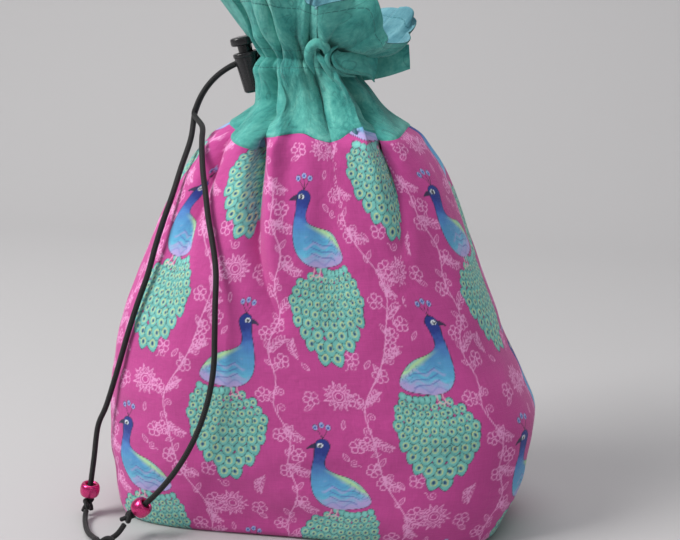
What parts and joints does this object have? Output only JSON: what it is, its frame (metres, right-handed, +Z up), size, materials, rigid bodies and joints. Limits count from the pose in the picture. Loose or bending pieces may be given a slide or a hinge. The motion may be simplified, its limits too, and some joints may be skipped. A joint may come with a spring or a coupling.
{
  "type": "drawstring knitting bag",
  "caption": "Boxed-base fabric project bag with a gathered drawstring neck, ruffled top, spring cord lock and beaded cord ends.",
  "frame": {"origin": "middle of the base, on the ground plane", "axes": "+Z up, +X to the right seen from the front, front faces -Y"},
  "size_m": [0.2031, 0.1294, 0.2417],
  "materials": {
    "magenta_print_cotton": "printed",
    "teal_batik_cotton": "mottled",
    "pale_blue_lining": "plain",
    "white_fleece_interlining": "plain",
    "black_braided_cord": "braided",
    "black_lock_plastic": "gloss",
    "spring_steel": "bright",
    "metallic_pink_bead_left": "metallic",
    "metallic_pink_bead_right": "metallic"
  },
  "bodies": {
    "bag": {"outer_front": "magenta_print_cotton", "outer_back": "magenta_print_cotton", "interlining_front": "white_fleece_interlining", "interlining_back": "white_fleece_interlining", "lining_front": "pale_blue_lining", "lining_back": "pale_blue_lining", "drawcord_lead_a": "black_braided_cord", "drawcord_lead_b": "black_braided_cord", "drawcord_tail_left": "black_braided_cord", "drawcord_tail_right": "black_braided_cord"},
    "mouth_front": {"cuff_front": "teal_batik_cotton", "cuff_lining_front": "pale_blue_lining", "drawcord_run_front": "black_braided_cord"},
    "mouth_back": {"cuff_back": "teal_batik_cotton", "cuff_lining_back": "pale_blue_lining", "drawcord_run_back": "black_braided_cord"},
    "lock": {"lock_barrel": "black_lock_plastic", "lock_spring": "spring_steel"},
    "plunger": {"lock_plunger": "black_lock_plastic"},
    "cord_ends": {"knot_left": "black_braided_cord", "knot_right": "black_braided_cord", "end_knot": "black_braided_cord", "cord_end_left": "black_braided_cord", "cord_end_right": "black_braided_cord", "cord_tip_left": "black_braided_cord", "cord_tip_right": "black_braided_cord"},
    "bead_left_body": {"bead_left": "metallic_pink_bead_left"},
    "bead_right_body": {"bead_right": "metallic_pink_bead_right"}
  },
  "joints": [
    {"name": "mouth_open_front", "type": "slide", "parent": "bag", "child": "mouth_front", "axis": [0, -1, 0], "range_m": [0, 0.025]},
    {"name": "mouth_open_back", "type": "slide", "parent": "bag", "child": "mouth_back", "axis": [0, 1, 0], "range_m": [0, 0.025]},
    {"name": "cord_draw", "type": "slide", "parent": "bag", "child": "cord_ends", "axis": [0.0201, -0.1203, 0.9925], "range_m": [0, 0.05], "deforming": ["drawcord_tail_left", "drawcord_tail_right"]},
    {"name": "lock_travel", "type": "hinge", "parent": "bag", "child": "lock", "pos_m": [-0.02069, 0.00311, 0.17458], "axis": [0.1392, -0.9903, 0], "range_deg": [0, 28]},
    {"name": "plunger_press", "type": "slide", "parent": "lock", "child": "plunger", "axis": [0.2059, 0.0289, -0.9781], "range_m": [0, 0.003], "stiffness_N_per_m": 800, "deforming": ["lock_spring"]},
    {"name": "bead_left_slide", "type": "slide", "parent": "cord_ends", "child": "bead_left_body", "axis": [0.164, 0.021, 0.9862], "range_m": [0, 0.028]},
    {"name": "bead_right_travel", "type": "hinge", "parent": "cord_ends", "child": "bead_right_body", "pos_m": [-0.13746, -0.0515, 0.09457], "axis": [0, -1, 0], "range_deg": [0, 17]}
  ],
  "couplings": [
    {"joint": "mouth_open_back", "follows": "mouth_open_front", "ratio": 1},
    {"joint": "cord_draw", "follows": "mouth_open_front", "ratio": 2}
  ]
}
